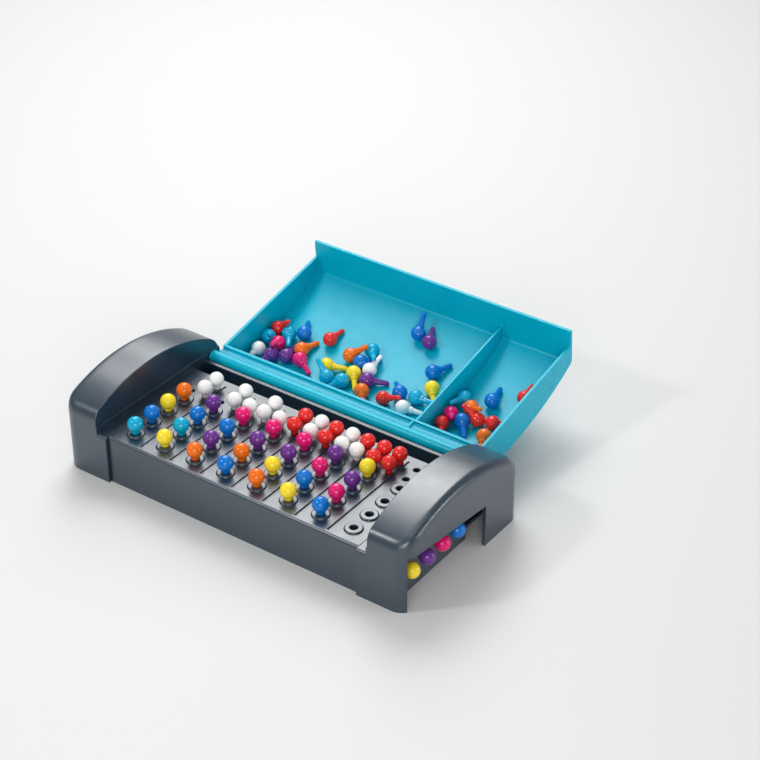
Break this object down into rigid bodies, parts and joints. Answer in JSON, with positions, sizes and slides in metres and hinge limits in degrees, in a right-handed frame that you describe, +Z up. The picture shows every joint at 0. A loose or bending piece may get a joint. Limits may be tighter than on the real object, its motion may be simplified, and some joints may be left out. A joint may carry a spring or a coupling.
{
  "type": "code breaking peg game",
  "caption": "Code-breaking peg game: slotted tray of round-headed pegs between crowned ends, a hooded rack of secret pegs and a hinged two-part peg-box lid.",
  "frame": {"origin": "centre of the underside of the base", "axes": "+X along the rows towards the hooded end, +Y towards the hinge, +Z up"},
  "size_m": [0.2424, 0.2108, 0.0638],
  "materials": {
    "slate_plastic": "satin",
    "teal_plastic": "glossy",
    "screw_steel": "satin",
    "cyan_peg": "glossy",
    "blue_peg": "glossy",
    "yellow_peg": "glossy",
    "orange_peg": "glossy",
    "purple_peg": "glossy",
    "pink_peg": "glossy",
    "red_peg": "glossy",
    "white_peg": "glossy"
  },
  "bodies": {
    "base": {"base_tray": "slate_plastic", "left_end_housing": "slate_plastic", "right_hood": "slate_plastic", "code_rack": "slate_plastic", "bottom_cover": "slate_plastic", "tray_front_screw": "screw_steel", "tray_back_screw": "screw_steel", "left_housing_screw": "screw_steel", "right_housing_screw": "screw_steel"},
    "lid": {"lid": "teal_plastic"},
    "code_peg_a1": {"code_peg_a1": "cyan_peg"},
    "code_peg_a2": {"code_peg_a2": "blue_peg"},
    "code_peg_a3": {"code_peg_a3": "yellow_peg"},
    "code_peg_a4": {"code_peg_a4": "orange_peg"},
    "code_peg_b1": {"code_peg_b1": "yellow_peg"},
    "code_peg_b2": {"code_peg_b2": "cyan_peg"},
    "code_peg_b3": {"code_peg_b3": "blue_peg"},
    "code_peg_b4": {"code_peg_b4": "purple_peg"},
    "code_peg_c1": {"code_peg_c1": "orange_peg"},
    "code_peg_c2": {"code_peg_c2": "purple_peg"},
    "code_peg_c3": {"code_peg_c3": "blue_peg"},
    "code_peg_c4": {"code_peg_c4": "pink_peg"},
    "code_peg_d1": {"code_peg_d1": "blue_peg"},
    "code_peg_d2": {"code_peg_d2": "orange_peg"},
    "code_peg_d3": {"code_peg_d3": "purple_peg"},
    "code_peg_d4": {"code_peg_d4": "pink_peg"},
    "code_peg_e1": {"code_peg_e1": "orange_peg"},
    "code_peg_e2": {"code_peg_e2": "yellow_peg"},
    "code_peg_e3": {"code_peg_e3": "purple_peg"},
    "code_peg_e4": {"code_peg_e4": "pink_peg"},
    "code_peg_f1": {"code_peg_f1": "yellow_peg"},
    "code_peg_f2": {"code_peg_f2": "blue_peg"},
    "code_peg_f3": {"code_peg_f3": "pink_peg"},
    "code_peg_f4": {"code_peg_f4": "purple_peg"},
    "code_peg_g1": {"code_peg_g1": "blue_peg"},
    "code_peg_g2": {"code_peg_g2": "pink_peg"},
    "code_peg_g3": {"code_peg_g3": "purple_peg"},
    "code_peg_g4": {"code_peg_g4": "yellow_peg"},
    "secret_peg_1": {"secret_peg_1": "yellow_peg"},
    "secret_peg_2": {"secret_peg_2": "purple_peg"},
    "secret_peg_3": {"secret_peg_3": "pink_peg"},
    "secret_peg_4": {"secret_peg_4": "blue_peg"},
    "key_peg_c_front_left": {"key_peg_c_front_left": "white_peg"},
    "key_peg_c_front_right": {"key_peg_c_front_right": "white_peg"},
    "key_peg_c_back_right": {"key_peg_c_back_right": "white_peg"},
    "key_peg_d_front_left": {"key_peg_d_front_left": "white_peg"},
    "key_peg_d_front_right": {"key_peg_d_front_right": "red_peg"},
    "key_peg_d_back_right": {"key_peg_d_back_right": "red_peg"},
    "key_peg_e_front_left": {"key_peg_e_front_left": "white_peg"},
    "key_peg_e_back_left": {"key_peg_e_back_left": "white_peg"},
    "key_peg_e_front_right": {"key_peg_e_front_right": "red_peg"},
    "key_peg_e_back_right": {"key_peg_e_back_right": "red_peg"},
    "key_peg_f_front_left": {"key_peg_f_front_left": "white_peg"},
    "key_peg_f_back_left": {"key_peg_f_back_left": "white_peg"},
    "key_peg_f_front_right": {"key_peg_f_front_right": "white_peg"},
    "key_peg_f_back_right": {"key_peg_f_back_right": "red_peg"},
    "key_peg_g_front_left": {"key_peg_g_front_left": "red_peg"},
    "key_peg_g_back_left": {"key_peg_g_back_left": "red_peg"},
    "key_peg_g_front_right": {"key_peg_g_front_right": "red_peg"},
    "key_peg_g_back_right": {"key_peg_g_back_right": "red_peg"}
  },
  "joints": [
    {"name": "lid_hinge", "type": "hinge", "parent": "base", "child": "lid", "pos_m": [0, 0.048, 0.0314], "axis": [-1, 0, 0], "range_deg": [-168.5, 0]},
    {"name": "code_peg_a1_pull", "type": "slide", "parent": "base", "child": "code_peg_a1", "axis": [0, 0, 1], "range_m": [0, 0.0085]},
    {"name": "code_peg_a2_pull", "type": "slide", "parent": "base", "child": "code_peg_a2", "axis": [0, 0, 1], "range_m": [0, 0.0085]},
    {"name": "code_peg_a3_pull", "type": "slide", "parent": "base", "child": "code_peg_a3", "axis": [0, 0, 1], "range_m": [0, 0.0085]},
    {"name": "code_peg_a4_pull", "type": "slide", "parent": "base", "child": "code_peg_a4", "axis": [0, 0, 1], "range_m": [0, 0.0085]},
    {"name": "code_peg_b1_pull", "type": "slide", "parent": "base", "child": "code_peg_b1", "axis": [0, 0, 1], "range_m": [0, 0.0085]},
    {"name": "code_peg_b2_pull", "type": "slide", "parent": "base", "child": "code_peg_b2", "axis": [0, 0, 1], "range_m": [0, 0.0085]},
    {"name": "code_peg_b3_pull", "type": "slide", "parent": "base", "child": "code_peg_b3", "axis": [0, 0, 1], "range_m": [0, 0.0085]},
    {"name": "code_peg_b4_pull", "type": "slide", "parent": "base", "child": "code_peg_b4", "axis": [0, 0, 1], "range_m": [0, 0.0085]},
    {"name": "code_peg_c1_pull", "type": "slide", "parent": "base", "child": "code_peg_c1", "axis": [0, 0, 1], "range_m": [0, 0.0085]},
    {"name": "code_peg_c2_pull", "type": "slide", "parent": "base", "child": "code_peg_c2", "axis": [0, 0, 1], "range_m": [0, 0.0085]},
    {"name": "code_peg_c3_pull", "type": "slide", "parent": "base", "child": "code_peg_c3", "axis": [0, 0, 1], "range_m": [0, 0.0085]},
    {"name": "code_peg_c4_pull", "type": "slide", "parent": "base", "child": "code_peg_c4", "axis": [0, 0, 1], "range_m": [0, 0.0085]},
    {"name": "code_peg_d1_pull", "type": "slide", "parent": "base", "child": "code_peg_d1", "axis": [0, 0, 1], "range_m": [0, 0.0085]},
    {"name": "code_peg_d2_pull", "type": "slide", "parent": "base", "child": "code_peg_d2", "axis": [0, 0, 1], "range_m": [0, 0.0085]},
    {"name": "code_peg_d3_pull", "type": "slide", "parent": "base", "child": "code_peg_d3", "axis": [0, 0, 1], "range_m": [0, 0.0085]},
    {"name": "code_peg_d4_pull", "type": "slide", "parent": "base", "child": "code_peg_d4", "axis": [0, 0, 1], "range_m": [0, 0.0085]},
    {"name": "code_peg_e1_pull", "type": "slide", "parent": "base", "child": "code_peg_e1", "axis": [0, 0, 1], "range_m": [0, 0.0085]},
    {"name": "code_peg_e2_pull", "type": "slide", "parent": "base", "child": "code_peg_e2", "axis": [0, 0, 1], "range_m": [0, 0.0085]},
    {"name": "code_peg_e3_pull", "type": "slide", "parent": "base", "child": "code_peg_e3", "axis": [0, 0, 1], "range_m": [0, 0.0085]},
    {"name": "code_peg_e4_pull", "type": "slide", "parent": "base", "child": "code_peg_e4", "axis": [0, 0, 1], "range_m": [0, 0.0085]},
    {"name": "code_peg_f1_pull", "type": "slide", "parent": "base", "child": "code_peg_f1", "axis": [0, 0, 1], "range_m": [0, 0.0085]},
    {"name": "code_peg_f2_pull", "type": "slide", "parent": "base", "child": "code_peg_f2", "axis": [0, 0, 1], "range_m": [0, 0.0085]},
    {"name": "code_peg_f3_pull", "type": "slide", "parent": "base", "child": "code_peg_f3", "axis": [0, 0, 1], "range_m": [0, 0.0085]},
    {"name": "code_peg_f4_pull", "type": "slide", "parent": "base", "child": "code_peg_f4", "axis": [0, 0, 1], "range_m": [0, 0.0085]},
    {"name": "code_peg_g1_pull", "type": "slide", "parent": "base", "child": "code_peg_g1", "axis": [0, 0, 1], "range_m": [0, 0.0085]},
    {"name": "code_peg_g2_pull", "type": "slide", "parent": "base", "child": "code_peg_g2", "axis": [0, 0, 1], "range_m": [0, 0.0085]},
    {"name": "code_peg_g3_pull", "type": "slide", "parent": "base", "child": "code_peg_g3", "axis": [0, 0, 1], "range_m": [0, 0.0085]},
    {"name": "code_peg_g4_pull", "type": "slide", "parent": "base", "child": "code_peg_g4", "axis": [0, 0, 1], "range_m": [0, 0.0085]},
    {"name": "secret_peg_1_pull", "type": "slide", "parent": "base", "child": "secret_peg_1", "axis": [1, 0, 0], "range_m": [0, 0.0085]},
    {"name": "secret_peg_2_pull", "type": "slide", "parent": "base", "child": "secret_peg_2", "axis": [1, 0, 0], "range_m": [0, 0.0085]},
    {"name": "secret_peg_3_pull", "type": "slide", "parent": "base", "child": "secret_peg_3", "axis": [1, 0, 0], "range_m": [0, 0.0085]},
    {"name": "secret_peg_4_pull", "type": "slide", "parent": "base", "child": "secret_peg_4", "axis": [1, 0, 0], "range_m": [0, 0.0085]},
    {"name": "key_peg_c_front_left_pull", "type": "slide", "parent": "base", "child": "key_peg_c_front_left", "axis": [0, 0, 1], "range_m": [0, 0.007]},
    {"name": "key_peg_c_front_right_pull", "type": "slide", "parent": "base", "child": "key_peg_c_front_right", "axis": [0, 0, 1], "range_m": [0, 0.007]},
    {"name": "key_peg_c_back_right_pull", "type": "slide", "parent": "base", "child": "key_peg_c_back_right", "axis": [0, 0, 1], "range_m": [0, 0.007]},
    {"name": "key_peg_d_front_left_pull", "type": "slide", "parent": "base", "child": "key_peg_d_front_left", "axis": [0, 0, 1], "range_m": [0, 0.007]},
    {"name": "key_peg_d_front_right_pull", "type": "slide", "parent": "base", "child": "key_peg_d_front_right", "axis": [0, 0, 1], "range_m": [0, 0.007]},
    {"name": "key_peg_d_back_right_pull", "type": "slide", "parent": "base", "child": "key_peg_d_back_right", "axis": [0, 0, 1], "range_m": [0, 0.007]},
    {"name": "key_peg_e_front_left_pull", "type": "slide", "parent": "base", "child": "key_peg_e_front_left", "axis": [0, 0, 1], "range_m": [0, 0.007]},
    {"name": "key_peg_e_back_left_pull", "type": "slide", "parent": "base", "child": "key_peg_e_back_left", "axis": [0, 0, 1], "range_m": [0, 0.007]},
    {"name": "key_peg_e_front_right_pull", "type": "slide", "parent": "base", "child": "key_peg_e_front_right", "axis": [0, 0, 1], "range_m": [0, 0.007]},
    {"name": "key_peg_e_back_right_pull", "type": "slide", "parent": "base", "child": "key_peg_e_back_right", "axis": [0, 0, 1], "range_m": [0, 0.007]},
    {"name": "key_peg_f_front_left_pull", "type": "slide", "parent": "base", "child": "key_peg_f_front_left", "axis": [0, 0, 1], "range_m": [0, 0.007]},
    {"name": "key_peg_f_back_left_pull", "type": "slide", "parent": "base", "child": "key_peg_f_back_left", "axis": [0, 0, 1], "range_m": [0, 0.007]},
    {"name": "key_peg_f_front_right_pull", "type": "slide", "parent": "base", "child": "key_peg_f_front_right", "axis": [0, 0, 1], "range_m": [0, 0.007]},
    {"name": "key_peg_f_back_right_pull", "type": "slide", "parent": "base", "child": "key_peg_f_back_right", "axis": [0, 0, 1], "range_m": [0, 0.007]},
    {"name": "key_peg_g_front_left_pull", "type": "slide", "parent": "base", "child": "key_peg_g_front_left", "axis": [0, 0, 1], "range_m": [0, 0.007]},
    {"name": "key_peg_g_back_left_pull", "type": "slide", "parent": "base", "child": "key_peg_g_back_left", "axis": [0, 0, 1], "range_m": [0, 0.007]},
    {"name": "key_peg_g_front_right_pull", "type": "slide", "parent": "base", "child": "key_peg_g_front_right", "axis": [0, 0, 1], "range_m": [0, 0.007]},
    {"name": "key_peg_g_back_right_pull", "type": "slide", "parent": "base", "child": "key_peg_g_back_right", "axis": [0, 0, 1], "range_m": [0, 0.007]}
  ]
}
